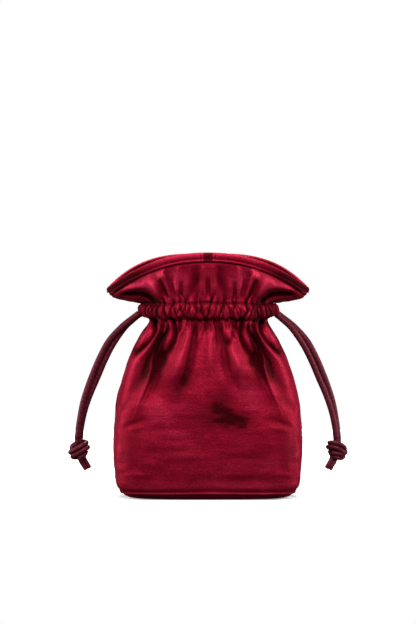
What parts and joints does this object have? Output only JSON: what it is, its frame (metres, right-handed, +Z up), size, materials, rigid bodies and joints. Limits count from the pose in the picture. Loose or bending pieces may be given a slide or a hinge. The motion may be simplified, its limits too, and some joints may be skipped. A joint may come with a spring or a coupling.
{
  "type": "drawstring pouch",
  "caption": "Soft standing velvet pouch with a flared bound mouth, gathered by doubled cords that run in a channel and end in knots.",
  "frame": {"origin": "bottom centre of the pouch, on the surface that its base rests on, cords left out", "axes": "+Z up towards the mouth, +X towards the right-hand cord seen from the front, -Y out of the front"},
  "size_m": [0.2748, 0.086, 0.2466],
  "materials": {
    "velvet": "short-pile red velvet with a satin sheen",
    "binding": "red velvet strip, folded and stitched",
    "casing_cloth": "plain dark red cloth",
    "cord_leather": "smooth dark burgundy round cord"
  },
  "bodies": {
    "root": {"front_panel": "velvet", "back_panel": "velvet", "base_panel": "velvet", "rim_binding": "binding", "front_casing_strip": "casing_cloth", "back_casing_strip": "casing_cloth", "left_cord_front_strand": "cord_leather", "left_cord_back_strand": "cord_leather", "left_cord_in_channel": "cord_leather", "left_knot": "cord_leather", "right_cord_front_strand": "cord_leather", "right_cord_back_strand": "cord_leather", "right_cord_in_channel": "cord_leather", "right_knot": "cord_leather"}
  },
  "joints": []
}
